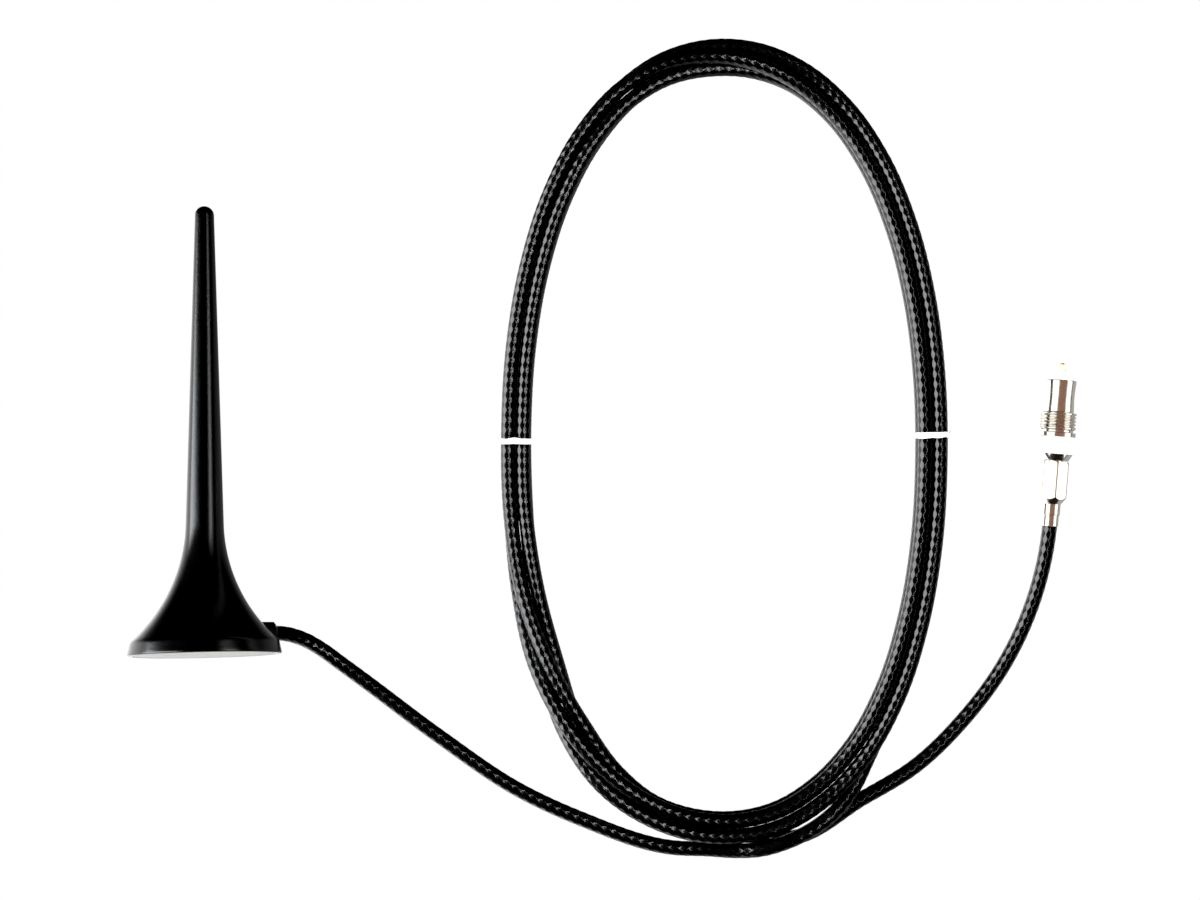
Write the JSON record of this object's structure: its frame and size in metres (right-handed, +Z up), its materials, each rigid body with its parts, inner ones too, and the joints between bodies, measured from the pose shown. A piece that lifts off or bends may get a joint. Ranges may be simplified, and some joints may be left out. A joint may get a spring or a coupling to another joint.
{
  "type": "magnet-foot cellular whip antenna with coax lead",
  "caption": "Black flared magnet-foot whip antenna for a cellular signal booster, with its coiled coax lead held by twist ties and a threaded nickel radio plug.",
  "frame": {"origin": "centre of the flat face of the antenna's magnet foot", "axes": "+Z up from the table the lead is coiled on; +Y along the table from the foot towards the antenna's tip; +X towards the coil and the plug"},
  "size_m": [0.21, 0.1847, 0.0332],
  "materials": {
    "satin_black_plastic": "satin moulded",
    "gland_plastic": "matt moulded",
    "pad_rubber": "smooth soft pad",
    "magnet_plating": "nickel-plated magnet",
    "zinc_steel": "zinc-plated",
    "brass": "turned",
    "circuit_board": "solder mask",
    "component_ceramic": "fired ceramic",
    "natural_plastic": "natural polyethylene",
    "copper": "bare copper wire",
    "cable_jacket": "glossy with a braided relief",
    "tinned_braid": "tinned wire braid",
    "white_tie": "crinkled strip",
    "white_collar": "moulded",
    "white_insulator": "turned fluoropolymer",
    "nickel": "nickel-plated, turned",
    "gold": "gold-plated"
  },
  "bodies": {
    "coil": {"coil_jacket": "cable_jacket", "coil_braid": "tinned_braid", "coil_dielectric": "natural_plastic", "coil_conductor": "copper", "tie_left": "white_tie", "tie_left_wire": "zinc_steel", "tie_right": "white_tie", "tie_right_wire": "zinc_steel"},
    "antenna": {"radome_shell": "satin_black_plastic", "cable_gland": "gland_plastic", "foot_pad": "pad_rubber", "magnet_disc": "magnet_plating", "magnet_yoke": "zinc_steel", "base_screws": "zinc_steel", "board_standoffs": "brass", "matching_board": "circuit_board", "board_components": "component_ceramic", "board_screws": "zinc_steel", "mast_stud": "brass", "coil_former": "natural_plastic", "radiator_helix": "copper", "radiator_rod": "brass", "rod_spacer": "natural_plastic", "shield_saddle": "zinc_steel", "saddle_screws": "zinc_steel", "feed_jacket": "cable_jacket", "feed_braid": "tinned_braid", "feed_dielectric": "natural_plastic", "feed_conductor": "copper"},
    "lead": {"lead_jacket": "cable_jacket", "lead_braid": "tinned_braid", "lead_dielectric": "natural_plastic", "lead_conductor": "copper"},
    "plug": {"plug_shell": "nickel", "collar_ring": "white_collar", "plug_insulator": "white_insulator", "centre_contact": "gold", "crimp_ferrule": "nickel", "plug_jacket": "cable_jacket", "plug_braid": "tinned_braid", "plug_dielectric": "natural_plastic", "plug_conductor": "copper"}
  },
  "joints": [
    {"name": "antenna_stand_up", "type": "hinge", "parent": "coil", "child": "antenna", "pos_m": [0.00008, -0.0024, -0.01643], "axis": [0.9995, 0.0321, 0], "range_deg": [0, 98.3]},
    {"name": "lead_swing", "type": "hinge", "parent": "coil", "child": "lead", "pos_m": [0.1458, -0.034, -0.01478], "axis": [0, 0, 1], "range_deg": [-35, 6]},
    {"name": "plug_bend", "type": "hinge", "parent": "lead", "child": "plug", "pos_m": [0.1874, 0.0277, -0.01203], "axis": [0, 0, 1], "range_deg": [-30, 10]}
  ]
}
